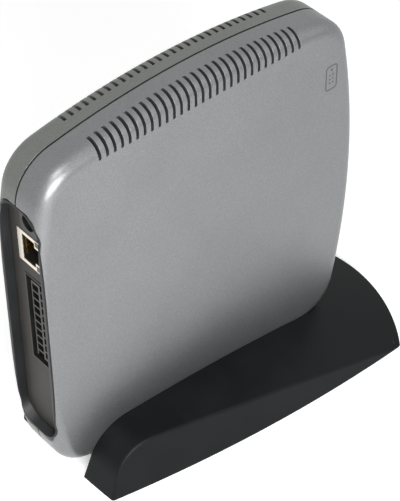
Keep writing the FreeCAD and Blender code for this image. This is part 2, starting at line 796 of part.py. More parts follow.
def electronics():
    chip_x, chip_z, chip_side, chip_rise = 5.5, 6, 27, 2.3
    node(on_board("decoder_block", chip_x, chip_z, chip_side, chip_side, chip_rise), "decoder_chip")
    base = on_board("sink_base", chip_x, chip_z, 30, 30, 2, lift=chip_rise)
    fins = []
    for k in range(7):
        x = chip_x - 14.2 + k * 28.4 / 6
        fins.append(on_board(f"sink_fin_{k}", x, chip_z, 1.4, 30, 5.1, lift=chip_rise + 1.9))
    node(fused("sink_fused", [base, *fins]), "heat_sink")
    memory = [on_board(f"memory_{k}", 39.5, z, 22, 10, 1.2) for k, z in enumerate((20, 2))]
    node(grouped("memory_group", memory), "memory_chips")
    node(on_board("flash_block", 39.5, -16, 18, 12, 1.2), "flash_chip")
    node(on_board("network_block", -24.5, 16, 14, 14, 1.6), "network_chip")
    node(on_board("transformer_block", -22.5, 36, 13, 16, 6), "lan_transformer")
    coils = [on_board(f"coil_{k}", x, -40, 10, 10, 4.5) for k, x in enumerate((-4.5, 11.5))]
    node(grouped("coil_group", coils), "power_coils")
    crystal_places = ((3.5, 30), (-24.5, 2))
    crystals = [on_board(f"crystal_{k}", x, z, 11, 4.6, 3.5) for k, (x, z) in enumerate(crystal_places)]
    node(grouped("crystal_group", crystals), "crystals")
    cans = []
    # Each can's place, radius and height
    places = (
        (-28.5, -38, 4.0, 11),
        (-18.5, -38, 4.0, 11),
        (27.5, -40, 3.15, 7),
        (37.5, -40, 3.15, 7),
        (-28.5, 48, 3.15, 7),
        (21.5, 44, 3.15, 7),
    )
    for k, (x, z, radius, rise) in enumerate(places):
        start = (f"{BOARD_X} + {x}", f"sizes.board_y - {rise}", f"{PLAYER_Z} + {z}")
        cans.append(rod(f"can_{k}", start, "Y", radius, rise))
    node(grouped("can_group", cans), "capacitors")


electronics()


# Front edge: remote receiver, status light and the window they look through
def front_edge():
    reach = 8
    x = f"sizes.board_front - {reach} + 2"
    eye = block("eye_block", (x, "sizes.board_y - 5.5", "sizes.window_z + 0.5"), (reach, 5.5, 6))
    dome_start = (f"{x} + {reach} - 0.5", "sizes.board_y - 3.3", "sizes.window_z + 3.5")
    dome = rod("eye_dome", dome_start, "X", 2.2, 2)
    node(fused("eye_fused", [eye, dome]), "ir_receiver")
    base = block("lamp_block", (x, "sizes.board_y - 5.5", "sizes.window_z - 6.5"), (reach - 3, 5.5, 5))
    bulb_start = (f"{x} + {reach} - 3.1", "sizes.board_y - 3.3", "sizes.window_z - 4")
    bulb = rod("lamp_bulb", bulb_start, "X", 1.5, 4)
    node(fused("lamp_fused", [base, bulb]), "power_light")

    # The window follows the bulged edge: a rounded bar cut from the outline by two offsets
    body = doc.addObject("Part::Feature", "window_solid")
    bar = rounded_bar(size("window_width"), size("window_height"))
    skin = outline_prism(0.3, 20).cut(outline_prism(0.3 + size("window_thick"), 22))
    body.Shape = skin.common(bar)
    body.Placement = Placement()
    node(body, "ir_window")


def outline_wire(inset, y):
    edges = []
    for cx, cz, radius, start, end in outline_arcs(inset):
        centre = Vector(player_x + cx, y, player_z + cz)
        angles = (start, (start + end) / 2, end)
        points = [centre + Vector(radius * math.cos(a), 0, radius * math.sin(a)) for a in angles]
        edges.append(Part.Arc(*points).toShape())
    return Part.Wire(edges)


def outline_prism(inset, width):
    """The casing outline as a solid of this width across Y, centred on the mid-plane."""
    face = Part.Face(outline_wire(inset, -width / 2))
    return face.extrude(Vector(0, width, 0))


def rounded_bar(width, height):
    """A bar along X with a rounded-end section, at the window's place."""
    radius = width / 2 - 0.01
    box = Part.makeBox(size("player_width") / 2, width, height)
    box.translate(Vector(0, size("parting_y") - width / 2, size("window_z") - height / 2))
    long_edges = [edge for edge in box.Edges if abs(edge.tangentAt(0).x) > 0.99]
    return box.makeFillet(radius, long_edges)


front_edge()


# Screws of the player, each group one node
def player_screws():
    screws = []
    k = 0
    for side_x in (-1, 1):
        for side_z in (-1, 1):
            x = f"{PLAYER_X} + {side_x} * sizes.boss_x"
            z = f"{PLAYER_Z} + {side_z} * sizes.boss_z"
            tip = "sizes.shell_screw_tip"
            seat = "sizes.counterbore_floor"
            name = f"shell_screw_{k}"
            length = f"{seat} - {tip} + 0.1"
            shaft = rod(f"{name}_shaft", (x, tip, z), "Y", "sizes.shell_screw_radius", length)
            head = rod(f"{name}_head", (x, seat, z), "Y", "sizes.screw_head_radius", "sizes.screw_head")
            cross = cross_slot(f"{name}_cross", x, f"{seat} + sizes.screw_head - 0.9", z, "Y", 1)
            screws.append(carved(name, fused(f"{name}_blank", [shaft, head]), cross))
            k += 1
    node(grouped("shell_screw_group", screws), "shell_screws")

    screws = []
    for k, (x, z) in enumerate(board_screw_places()):
        name = f"board_screw_{k}"
        start = "sizes.board_y - 0.1"
        top = "sizes.board_y - sizes.screw_head"
        length = f"sizes.board_screw_tip - ({start})"
        shaft = rod(f"{name}_shaft", (x, start, z), "Y", "sizes.board_screw_radius", length)
        head = rod(f"{name}_head", (x, top, z), "Y", "sizes.screw_head_radius", "sizes.screw_head")
        cross = cross_slot(f"{name}_cross", x, f"{top} - 0.1", z, "Y", 1)
        screws.append(carved(name, fused(f"{name}_blank", [shaft, head]), cross))
    node(grouped("board_screw_group", screws), "board_screws")


def cross_slot(name, x, y, z, axis, depth):
    """Two crossed bars that cut a driver recess, 1 mm deep along the screw's axis."""
    bars = []
    for k, (a, b) in enumerate(((2.8, 0.6), (0.6, 2.8))):
        if axis == "Y":
            low = (f"{x} - {a} / 2", y, f"{z} - {b} / 2")
            spans = (a, depth, b)
        else:
            low = (f"{x} - {a} / 2", f"{y} - {b} / 2", z)
            spans = (a, b, depth)
        bars.append(block(f"{name}_{k}", low, spans))
    return bars


player_screws()


# Stand: a wedge with a crowned top, cut by a slot that is open at the rear
def plan_wire(inset, z):
    """The stand's plan: rear edge, two bowed sides and the round nose, drawn inset."""
    rear = size("stand_rear") - 1
    front_half = size("stand_front_half")
    front_x = nose_x + math.sqrt(size("nose_radius") ** 2 - front_half**2)
    rear_half = size("stand_rear_half")
    waist = size("stand_waist_half")
    waist_x = size("stand_waist_x")
    tip = Vector(nose_x + size("nose_radius"), 0, z)
    near_rear = Vector(rear, -rear_half, z)
    near_front = Vector(front_x, -front_half, z)
    far_front = Vector(front_x, front_half, z)
    # The far rear corner is rounded by an arc that touches the rear edge and the side
    radius = size("stand_rear_corner")
    slope = math.atan2(waist - rear_half, 0.55 * (waist_x - rear))
    centre_x = rear + radius
    centre_y = rear_half + radius * math.tan(slope) - radius / math.cos(slope)
    turns = (math.pi / 2 + slope, (1.5 * math.pi + slope) / 2, math.pi)
    corner = [Vector(centre_x, centre_y, z) + Vector(math.cos(a), math.sin(a), 0) * radius for a in turns]
    edges = [
        Part.Arc(near_rear, Vector(waist_x, -waist, z), near_front).toShape(),
        Part.Arc(near_front, tip, far_front).toShape(),
        Part.Arc(far_front, Vector(waist_x, waist, z), corner[0]).toShape(),
        Part.Arc(*corner).toShape(),
        Part.LineSegment(corner[2], near_rear).toShape(),
    ]
    wire = Part.Wire(edges)
    return wire.makeOffset2D(-inset, 2) if inset else wire


def profile_wire(inset, y):
    """The stand's side view this far from the mid-plane: leaning rear, ridge, falling top and nose."""
    low = Vector(0, 0, size("stand_foot") - 8)
    lean = math.radians(size("rear_lean"))
    up = Vector(math.sin(lean), 0, math.cos(lean))
    inward = Vector(math.cos(lean), 0, -math.sin(lean))
    small = size("ridge_arc")
    large = size("top_arc")
    foot = Vector(size("stand_rear") + y**2 / (2 * size("rear_bow")), y, size("stand_foot"))
    top = top_centre(y)
    # The ridge arc touches the rear line and lies inside the top arc
    reach = foot + inward * small - top
    along = reach * up
    travel = math.sqrt(along**2 - reach.Length**2 + (large - small) ** 2) - along
    ridge = top + reach + up * travel
    outward = (ridge - top).normalize()
    crest = (outward - inward).normalize()
    nose = size("overall_length") / 2 + 1 - inset
    fall = math.acos((nose - top.x) / (large - inset))
    middle = (math.pi / 2 - math.asin(outward.x) + fall) / 2
    rear_touch = ridge - inward * (small - inset)
    top_touch = top + outward * (large - inset)
    end = top + Vector(math.cos(fall), 0, math.sin(fall)) * (large - inset)
    half_way = top + Vector(math.cos(middle), 0, math.sin(middle)) * (large - inset)
    rear_low = rear_touch - up * ((rear_touch.z - low.z) / up.z)
    nose_low = Vector(nose, y, low.z)
    edges = [
        Part.LineSegment(rear_low, rear_touch).toShape(),
        Part.Arc(rear_touch, ridge + crest * (small - inset), top_touch).toShape(),
        Part.Arc(top_touch, half_way, end).toShape(),
        Part.LineSegment(end, nose_low).toShape(),
        Part.LineSegment(nose_low, rear_low).toShape(),
    ]
    return Part.Wire(edges)


def top_centre(y):
    """Centre of the top's arc: away from the mid-plane the top falls, most towards the nose."""
    large = size("top_arc")
    rear_x = size("crown_rear_x")
    rear_fall = y**2 / (2 * size("crown_rear_arc"))
    nose_fall = y**2 / (2 * size("crown_nose_arc"))
    crest_x = size("top_crest_x")
    rear_z = size("top_crest_z") - (rear_x - crest_x) ** 2 / (2 * large) - rear_fall
    crest_x -= large * (nose_fall - rear_fall) / (size("crown_nose_x") - rear_x)
    crest_z = rear_z + (rear_x - crest_x) ** 2 / (2 * large)
    return Vector(crest_x, y, crest_z - large)


def wedge(inset):
    """The stand's outer form, or the room inside it when inset by the wall."""
    foot = size("stand_foot")
    lean = math.tan(math.radians(size("side_lean")))
    heights = (foot - 6, size("top_crest_z") + 4)
    walls = Part.makeLoft([plan_wire(inset + (z - foot) * lean, z) for z in heights], True, True)
    crown = Part.makeLoft([profile_wire(inset, y) for y in (-52, -26, 0, 26, 52)], True)
    return walls.common(crown)


def stand_shell():
    foot = size("stand_foot")
    wall = size("stand_wall")
    gap = size("slot_gap")
    rear = size("stand_rear")
    outer = soft_creases(wedge(0)).cut(Part.makeBox(200, 120, 10, Vector(-100, -60, foot - 10)))

    # The slot follows the casing; behind the notch it is open down to the table
    half_slot = size("player_depth") / 2 + gap
    slot_floor = foot + size("plate_thick")
    cradle = outline_prism(-gap, 2 * half_slot)
    rims = [e for e in cradle.Edges if abs(abs(e.CenterOfMass.y) - half_slot) < 1e-3]
    cradle = cradle.makeFillet(size("face_fillet"), rims)
    run = Part.makeBox(player_x - rear + 20, 2 * half_slot, 40, Vector(rear - 20, -half_slot, slot_floor))
    slot = cradle.fuse(run)
    notch_length = size("slot_notch") - rear + 20
    notch = Part.makeBox(notch_length, 2 * half_slot, 60, Vector(rear - 20, -half_slot, -10))

    # The room inside stops short of the slot, whose walls are as thick as the liner
    liner = outline_prism(-gap - 2, 2 * half_slot + 4)
    low = Vector(rear - 20, -half_slot - 2, foot - 1)
    tunnel = Part.makeBox(player_x - rear + 20, 2 * half_slot + 4, 60, low)
    room = wedge(wall).cut(liner.fuse(tunnel))
    # The base plate's seat is a shallow rebate in the lower edge of the walls
    sink = Part.Face(plan_wire(wall - 0.1, foot - 1)).extrude(Vector(0, 0, 1 + size("plate_thick")))
    shell = outer.cut(room).cut(sink).cut(slot).cut(notch)

    for x, y in stand_screw_places():
        post = Part.makeCylinder(size("stand_boss_radius"), 30, Vector(x, y, slot_floor))
        shell = shell.fuse(post.common(wedge(wall / 2)))
    for x, y in stand_screw_places():
        bore = size("stand_screw_radius") + size("fit_gap") / 2
        depth = size("stand_screw_length") - size("plate_thick") + 0.5
        shell = shell.cut(Part.makeCylinder(bore, depth, Vector(x, y, slot_floor)))

    body = doc.addObject("Part::Feature", "stand_solid")
    body.Shape = shell.removeSplitter()
    body.Placement = Placement()
    return node(body, "stand_shell")


def soft_creases(solid):
    """Rounds the edges where the crowned top and the leaning rear meet the walls."""
    foot = size("stand_foot")
    broad = {f.hashCode() for f in solid.Faces if f.BoundBox.YLength > 30 and f.BoundBox.ZMax > foot}
    creases = []
    for edge in solid.Edges:
        codes = [f.hashCode() for f in solid.ancestorsOfType(edge, Part.Face)]
        upright = abs(edge.tangentAt(edge.FirstParameter).z) > 0.8 and edge.BoundBox.XMin > 0
        if sum(code in broad for code in codes) == 1 and edge.BoundBox.ZMax > foot and not upright:
            creases.append(edge)
    return solid.makeFillet(size("crease_fillet"), creases)


def stand_screw_places():
    return [(-48, -25), (-48, 25), (38, -32), (38, 32)]


def pad_places():
    return [(-62, -21), (-62, 21), (54, -34), (54, 34), (75, 0)]


stand_shell()


def stand_plate():
    """The plate closes the underside; its screws are countersunk into it."""
    foot = size("stand_foot")
    thick = size("plate_thick")
    gap = size("fit_gap")
    plate = Part.Face(plan_wire(size("stand_wall") + gap, foot)).extrude(Vector(0, 0, thick))
    half_notch = size("player_depth") / 2 + size("slot_gap") + 2 + gap
    notch = Part.makeBox(60, 2 * half_notch, 10, Vector(size("slot_notch") - 60, -half_notch, -5))
    plate = plate.cut(notch)
    wide = size("screw_head_radius") + gap
    narrow = size("stand_screw_radius") + gap
    for x, y in stand_screw_places():
        plate = plate.cut(Part.makeCone(wide, narrow, thick, Vector(x, y, foot)))
    body = doc.addObject("Part::Feature", "plate_solid")
    body.Shape = plate.removeSplitter()
    body.Placement = Placement()
    return node(body, "stand_base_plate")


stand_plate()


def stand_hardware():
    screws = []
    radius = "sizes.stand_screw_radius"
    for k, (x, y) in enumerate(stand_screw_places()):
        name = f"stand_screw_{k}"
        start = (x, y, "sizes.stand_foot")
        head = cone(f"{name}_head", start, "Z", "sizes.screw_head_radius", radius, "sizes.plate_thick")
        inside = (x, y, "sizes.stand_foot + 0.5")
        shaft = rod(f"{name}_shaft", inside, "Z", radius, "sizes.stand_screw_length - 0.5")
        cross = cross_slot(f"{name}_cross", x, y, "sizes.stand_foot - 0.2", "Z", 0.8)
        screws.append(carved(name, fused(f"{name}_blank", [head, shaft]), cross))
    node(grouped("stand_screw_group", screws), "stand_screws")
    pads = []
    for k, (x, y) in enumerate(pad_places()):
        pads.append(rod(f"pad_{k}", (x, y, 0), "Z", "sizes.pad_radius", "sizes.stand_foot"))
    node(grouped("pad_group", pads), "stand_feet")


stand_hardware()

doc.recompute()

# Every object must be up to date and every piece whole before anything is written
for obj in doc.Objects:
    if {"Invalid", "Error"} & set(obj.State):
        raise RuntimeError(f"{obj.Name} failed: {obj.State}")
for obj in nodes:
    shape = obj.Shape
    if shape.isNull() or not shape.isValid() or not shape.Solids:
        raise RuntimeError(f"{obj.Label} is not a valid solid")

for obj in nodes:
    obj.Shape.exportStep(f"parts/{obj.Label}.step")
    box = obj.Shape.BoundBox
    volume = obj.Shape.Volume / 1000
    span = f"z {box.ZMin:.1f} to {box.ZMax:.1f}"
    print(f"{obj.Label}: {len(obj.Shape.Solids)} solids, {volume:.2f} cm3, {span}")
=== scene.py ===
# %% [markdown]
# # A slim network media player in its stand
#
# The imported model already holds every moulded and fastened piece at its real
# size. This file loads it as a fixed frame, gives each surface a finish, adds
# a small printed mark, and sets the camera and the light.

# %% Load the frame
import math
import bmesh
import bpy
from mathutils import Matrix, Vector


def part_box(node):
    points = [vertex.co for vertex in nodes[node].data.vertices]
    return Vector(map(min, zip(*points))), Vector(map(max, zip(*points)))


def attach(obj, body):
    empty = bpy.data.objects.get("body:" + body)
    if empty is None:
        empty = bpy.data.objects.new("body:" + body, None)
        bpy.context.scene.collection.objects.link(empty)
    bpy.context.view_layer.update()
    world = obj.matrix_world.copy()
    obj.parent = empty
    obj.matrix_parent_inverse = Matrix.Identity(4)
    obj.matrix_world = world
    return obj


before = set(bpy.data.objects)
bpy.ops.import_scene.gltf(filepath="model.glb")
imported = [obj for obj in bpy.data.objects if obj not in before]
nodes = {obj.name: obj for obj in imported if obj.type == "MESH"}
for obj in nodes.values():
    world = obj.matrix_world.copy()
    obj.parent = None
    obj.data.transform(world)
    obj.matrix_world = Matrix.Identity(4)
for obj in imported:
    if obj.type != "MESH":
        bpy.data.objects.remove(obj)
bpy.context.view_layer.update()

MM = 0.001
print("nodes loaded:", len(nodes))

# %% [markdown]
# ## Numbers shared by the details
#
# Details are placed by the casing's own measures, so they sit on it from every
# side. Its two faces come from the boxes of its shells.

# %% Casing measures
NEAR_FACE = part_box("near_shell")[0][1]
FAR_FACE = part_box("far_shell")[1][1]
print("casing from y", round(NEAR_FACE / MM, 2), "to", round(FAR_FACE / MM, 2), "mm")

# %% [markdown]
# ## How a finish is written
#
# A finish is a small graph of shader nodes. One helper adds a node, sets its
# sockets and links them, and another turns an sRGB hex colour into the linear
# values that the shader wants. Patterns read Object coordinates in metres, so
# a scale comes from a real size in millimetres.


# %% Helpers for finishes
def linear(hex_colour):
    """An sRGB hex colour as a linear RGBA tuple."""
    parts = [int(hex_colour[k:k + 2], 16) / 255 for k in (1, 3, 5)]
    return tuple(c / 12.92 if c <= 0.04045 else ((c + 0.055) / 1.055) ** 2.4 for c in parts) + (1.0,)


def per_mm(size_mm):
    """A texture scale whose features are about this many millimetres apart."""
    return 1.0 / (size_mm * MM)


def add(tree, kind, settings=None, **sockets):
    """Adds a node, sets its properties, then sets or links each named socket."""
    node = tree.nodes.new(kind)
    for name, value in (settings or {}).items():
        setattr(node, name, value)
    for name, value in sockets.items():
        socket = node.inputs[name.replace("_", " ")]
        if isinstance(value, bpy.types.NodeSocket):
            tree.links.new(value, socket)
        else:
            socket.default_value = value
    return node


def new_finish(name):
    """A material with its shader, its output and the piece's own coordinates."""
    material = bpy.data.materials.new(name)
    material.use_nodes = True
    tree = material.node_tree
    tree.nodes.clear()
    shader = add(tree, "ShaderNodeBsdfPrincipled")
    output = add(tree, "ShaderNodeOutputMaterial", Surface=shader.outputs["BSDF"])
    coords = add(tree, "ShaderNodeTexCoord").outputs["Object"]
    return material, tree, shader, coords


def ramp(tree, value, low, high, at_low=0.0, at_high=1.0):
    """The value moved from the range low..high to at_low..at_high, held at both ends."""
    moved = add(tree, "ShaderNodeMapRange")
    for socket, number in zip(("From Min", "From Max", "To Min", "To Max"), (low, high, at_low, at_high)):
        moved.inputs[socket].default_value = number
    tree.links.new(value, moved.inputs["Value"])
    return moved.outputs["Result"]


def mix(tree, factor, first, second):
    """A colour mix; each end is a colour or another node's output."""
    blend = add(tree, "ShaderNodeMix", {"data_type": "RGBA"})
    for socket, value in ((blend.inputs[0], factor), (blend.inputs[6], first), (blend.inputs[7], second)):
        if isinstance(value, bpy.types.NodeSocket):
            tree.links.new(value, socket)
        else:
            socket.default_value = value
    return blend.outputs[2]


# %% [markdown]
# ## Silver paint on moulded plastic
#
# The casing is ABS, sprayed with a metallic silver whose flakes lie a tenth of
# a millimetre across. Flakes tilt a little each way, which gives a soft, broad
# shine rather than a mirror. Here two noises tilt and tint the surface at the
# flake size, drawn slightly coarse so that it shows, and a broad one keeps the
# spray from being perfectly even. A bevel in the normal rounds each cut edge
# by a quarter of a millimetre, as paint does.


# %% Silver paint
def silver_paint(name, light, dark):
    material, tree, shader, coords = new_finish(name)
    flakes = add(tree, "ShaderNodeTexNoise", Vector=coords, Scale=per_mm(0.35), Detail=3.0)
    spray = add(tree, "ShaderNodeTexNoise", Vector=coords, Scale=per_mm(28), Detail=2.0)
    tone = mix(tree, ramp(tree, flakes.outputs["Fac"], 0.3, 0.7), linear(dark), linear(light))
    patch = ramp(tree, spray.outputs["Fac"], 0.3, 0.7, 0.96, 1.03)
    shaded = add(tree, "ShaderNodeHueSaturation", Value=patch, Color=tone)
    tree.links.new(shaded.outputs["Color"], shader.inputs["Base Color"])
    shader.inputs["Metallic"].default_value = 0.85
    rough = ramp(tree, flakes.outputs["Fac"], 0.3, 0.7, 0.36, 0.44)
    tree.links.new(rough, shader.inputs["Roughness"])
    soft_edge = add(tree, "ShaderNodeBevel", {"samples": 6}, Radius=0.25 * MM)
    bump = add(
        tree, "ShaderNodeBump",
        Strength=0.12, Distance=0.03 * MM,
        Height=flakes.outputs["Fac"], Normal=soft_edge.outputs["Normal"],
    )
    tree.links.new(bump.outputs["Normal"], shader.inputs["Normal"])
    return material


SILVER = silver_paint("silver_paint", "#858687", "#6f7071")
# The far shell takes a darker, greener copy of the silver paint: painted shade for its faces, which turn
# away from the light.
SILVER_PAINTED_SHADE = silver_paint("silver_paint_painted_shade", "#7c7e7a", "#686a67")
print("made", SILVER.name, "and", SILVER_PAINTED_SHADE.name)

# %% [markdown]
# ## Textured and smooth moulded plastic
#
# Plastic comes out of a mould with the mould's own texture: fine sparks for
# the recess and the underside, almost polished for the stand. One function
# makes them all from a grain size, a depth and a roughness, because only those
# differ. The roughness varies a little, as handling leaves it. Plain ABS has a
# specular level of 0.5. The stand's is set far lower, because at 0.5 these
# white surroundings made it paler than in the photo. That number and those of the
# recess are matched, and aren't a measured property of the plastic.


# %% Moulded plastic
def moulded_plastic(name, colour, worn, grain_mm, depth_mm, roughness, edge_mm=0.2, gloss=0.5):
    material, tree, shader, coords = new_finish(name)
    grain = add(tree, "ShaderNodeTexNoise", Vector=coords, Scale=per_mm(grain_mm), Detail=4.0)
    broad = add(tree, "ShaderNodeTexNoise", Vector=coords, Scale=per_mm(16), Detail=3.0)
    cloud = ramp(tree, broad.outputs["Fac"], 0.35, 0.7)
    tree.links.new(mix(tree, cloud, linear(colour), linear(worn)), shader.inputs["Base Color"])
    rough = ramp(tree, broad.outputs["Fac"], 0.3, 0.7, roughness - 0.04, roughness + 0.05)
    tree.links.new(rough, shader.inputs["Roughness"])
    shader.inputs["IOR"].default_value = 1.5
    shader.inputs["Specular IOR Level"].default_value = gloss
    soft_edge = add(tree, "ShaderNodeBevel", {"samples": 6}, Radius=edge_mm * MM)
    bump = add(
        tree, "ShaderNodeBump",
        Strength=0.35, Distance=depth_mm * MM,
        Height=grain.outputs["Fac"], Normal=soft_edge.outputs["Normal"],
    )
    tree.links.new(bump.outputs["Normal"], shader.inputs["Normal"])
    return material


BEZEL = moulded_plastic("bezel_abs", "#151617", "#1b1c1d", 0.5, 0.05, 0.42, 0.5, 0.3)
PANEL = moulded_plastic("panel_abs", "#262421", "#2d2b28", 0.5, 0.05, 0.5, 0.3, 0.3)
STAND = moulded_plastic("black_stand_abs", "#0d0f10", "#121415", 0.8, 0.012, 0.42, 0.5, 0.12)
UNDERSIDE = moulded_plastic("textured_black_abs", "#151515", "#1c1c1c", 0.6, 0.06, 0.6)
SOCKET = moulded_plastic("black_socket_pbt", "#161615", "#1f1f1d", 0.4, 0.02, 0.4, 0.12)
EPOXY = moulded_plastic("chip_epoxy", "#191a1b", "#222324", 0.25, 0.03, 0.55, 0.1)
FERRITE = moulded_plastic("pressed_ferrite", "#2d2c2b", "#383635", 0.3, 0.05, 0.7, 0.15)
SMOKED = moulded_plastic("smoked_polycarbonate", "#12060a", "#160a0e", 2.0, 0.004, 0.1, 0.3)
RECEIVER = moulded_plastic("receiver_epoxy", "#0d0a0d", "#121014", 1.0, 0.005, 0.15, 0.2)
RUBBER = moulded_plastic("foot_rubber", "#1a1a1a", "#232323", 0.5, 0.05, 0.85, 0.15)
print("made ten moulded plastics")

# %% [markdown]
# ## Plated and drawn metals
#
# The network jack's can is nickel-plated brass sheet, the contacts are flashed
# with gold, screws are zinc-plated, and the heat sink is extruded aluminium.
# Sheet and extrusions keep faint lines along the way they were drawn, so the
# grain is a noise stretched along one axis.


# %% Drawn metal
def drawn_metal(name, colour, shade, roughness, stretch, line_mm=0.25):
    material, tree, shader, coords = new_finish(name)
    laid = add(tree, "ShaderNodeMapping", Vector=coords, Scale=stretch)
    lines = add(tree, "ShaderNodeTexNoise", Vector=laid.outputs["Vector"], Scale=per_mm(line_mm), Detail=3.0)
    tone = mix(tree, ramp(tree, lines.outputs["Fac"], 0.3, 0.7), linear(shade), linear(colour))
    tree.links.new(tone, shader.inputs["Base Color"])
    shader.inputs["Metallic"].default_value = 1.0
    rough = ramp(tree, lines.outputs["Fac"], 0.3, 0.7, roughness - 0.05, roughness + 0.06)
    tree.links.new(rough, shader.inputs["Roughness"])
    soft_edge = add(tree, "ShaderNodeBevel", {"samples": 6}, Radius=0.12 * MM)
    bump = add(
        tree, "ShaderNodeBump",
        Strength=0.2, Distance=0.01 * MM,
        Height=lines.outputs["Fac"], Normal=soft_edge.outputs["Normal"],
    )
    tree.links.new(bump.outputs["Normal"], shader.inputs["Normal"])
    return material


NICKEL = drawn_metal("nickel_plated_sheet", "#e4dccb", "#cfc8ba", 0.26, (1.0, 1.0, 0.1))
GOLD = drawn_metal("gold_flashed_contact", "#e2b25c", "#c99a4c", 0.28, (0.1, 1.0, 1.0))
ZINC = drawn_metal("zinc_plated_steel", "#b9b8b2", "#a09f9a", 0.34, (1.0, 0.2, 1.0))
ALUMINIUM = drawn_metal("extruded_aluminium", "#c4c6c8", "#aeb0b3", 0.38, (1.0, 1.0, 0.05))
print("made four metals")

# %% [markdown]
# ## The circuit board and the small clear parts
#
# A board is green solder mask over copper. The copper shows through as paler
# tracks, which a brick pattern stands for: long runs a millimetre apart. The
# lights are tinted clear plastic, dark in the jack because nothing is plugged
# in, and the capacitor cans wear a shrunk sleeve with a pale stripe.


# %% Board, light pipe and sleeve
def circuit_board(name):
    material, tree, shader, coords = new_finish(name)
    turned = add(tree, "ShaderNodeMapping", Vector=coords, Rotation=(math.radians(90), 0, 0))
    tracks = add(
        tree, "ShaderNodeTexBrick", {"offset": 0.5},
        Vector=turned.outputs["Vector"], Scale=per_mm(18),
        Color1=linear("#1c5a34"), Color2=linear("#17502d"), Mortar=linear("#2c7748"),
    )
    tracks.inputs["Mortar Size"].default_value = 0.012
    tracks.inputs["Brick Width"].default_value = 0.9
    tracks.inputs["Row Height"].default_value = 0.07
    tree.links.new(tracks.outputs["Color"], shader.inputs["Base Color"])
    mask = add(tree, "ShaderNodeTexNoise", Vector=coords, Scale=per_mm(3))
    tree.links.new(ramp(tree, mask.outputs["Fac"], 0.3, 0.7, 0.28, 0.4), shader.inputs["Roughness"])
    shader.inputs["IOR"].default_value = 1.55
    return material


def tinted_clear(name, colour, pale):
    material, tree, shader, coords = new_finish(name)
    haze = add(tree, "ShaderNodeTexNoise", Vector=coords, Scale=per_mm(1.2), Detail=2.0)
    tone = mix(tree, haze.outputs["Fac"], linear(colour), linear(pale))
    tree.links.new(tone, shader.inputs["Base Color"])
    tree.links.new(ramp(tree, haze.outputs["Fac"], 0.3, 0.7, 0.12, 0.25), shader.inputs["Roughness"])
    shader.inputs["IOR"].default_value = 1.49
    shader.inputs["Transmission Weight"].default_value = 0.5
    return material


def shrunk_sleeve(name):
    material, tree, shader, coords = new_finish(name)
    wave = add(tree, "ShaderNodeTexWave", Vector=coords, Scale=per_mm(22))
    stripe = ramp(tree, wave.outputs["Fac"], 0.82, 0.86)
    tree.links.new(mix(tree, stripe, linear("#1b2340"), linear("#8e95a8")), shader.inputs["Base Color"])
    skin = add(tree, "ShaderNodeTexNoise", Vector=coords, Scale=per_mm(1.5))
    tree.links.new(ramp(tree, skin.outputs["Fac"], 0.3, 0.7, 0.25, 0.4), shader.inputs["Roughness"])
    shader.inputs["IOR"].default_value = 1.53
    return material


BOARD = circuit_board("solder_mask_board")
LIGHT_PIPE = tinted_clear("tinted_light_pipe", "#b8c98e", "#f0f2e8")
UNLIT = tinted_clear("unlit_light_pipe", "#35362f", "#4b4c43")
SLEEVE = shrunk_sleeve("shrunk_sleeve")
print("made", BOARD.name, LIGHT_PIPE.name, UNLIT.name, SLEEVE.name)

# %% [markdown]
# ## Give each piece its finish
#
# A CAD piece keeps its shape and takes a finish in its one material slot. Its
# flat and round faces are already split where they should look sharp.

# %% Finish table
FINISHES = {
    "near_shell": SILVER,
    # The far shell's silver is the copy with painted shade.
    "far_shell": SILVER_PAINTED_SHADE,
    "rear_bezel": BEZEL,
    "connector_panel": PANEL,
    "main_board": BOARD,
    "lan_jack_shield": NICKEL,
    "lan_jack_insert": SOCKET,
    "lan_contacts": GOLD,
    "lan_lights": UNLIT,
    "av_socket_housing": SOCKET,
    "av_socket_contacts": GOLD,
    "power_jack_body": SOCKET,
    "power_jack_pin": NICKEL,
    "decoder_chip": EPOXY,
    "heat_sink": ALUMINIUM,
    "memory_chips": EPOXY,
    "flash_chip": EPOXY,
    "network_chip": EPOXY,
    "lan_transformer": EPOXY,
    "power_coils": FERRITE,
    "crystals": NICKEL,
    "capacitors": SLEEVE,
    "ir_receiver": RECEIVER,
    "power_light": LIGHT_PIPE,
    "ir_window": SMOKED,
    "shell_screws": ZINC,
    "board_screws": ZINC,
    "stand_shell": STAND,
    "stand_base_plate": UNDERSIDE,
    "stand_screws": ZINC,
    "stand_feet": RUBBER,
}
for name, finish in FINISHES.items():
    mesh = nodes[name].data
    mesh.materials.clear()
    mesh.materials.append(finish)
print("finished", len(FINISHES), "pieces")

# %% [markdown]
# ## Small printed marks
#
# The near face carries a little remote control, drawn as an outline with its
# keys, to show where the receiver looks out. Pad printing leaves a film about
# 0.02 mm thick, drawn here as 0.03, so the mark is a thin raised shape and not
# a picture. The outline is a rounded grid with its middle inset away, and each
# key is a small disc.


# %% Printed shapes
PRINT_DEPTH = 0.03 * MM


def printed_ring(bm, centre, width, height, radius, line):
    """A rounded outline in the XZ plane, its line this wide."""
    place = Matrix.Translation(centre) @ Matrix.Rotation(math.radians(90), 4, "X")
    stretch = Matrix.Diagonal((width / 2, height / 2, 1, 1))
    made = bmesh.ops.create_grid(bm, x_segments=1, y_segments=1, size=1.0, matrix=place @ stretch)
    bmesh.ops.bevel(
        bm, geom=made["verts"], offset=radius, offset_type="OFFSET",
        segments=6, profile=0.5, affect="VERTICES", material=-1,
    )
    outline = max(bm.faces, key=lambda face: face.calc_area())
    bmesh.ops.inset_region(bm, faces=[outline], thickness=line, use_boundary=True, use_even_offset=True)
    bmesh.ops.delete(bm, geom=[outline], context="FACES_ONLY")


def printed_disc(bm, centre, radius):
    """A small filled disc in the XZ plane."""
    place = Matrix.Translation(centre) @ Matrix.Rotation(math.radians(90), 4, "X")
    bmesh.ops.create_circle(bm, cap_ends=True, segments=20, radius=radius, matrix=place)


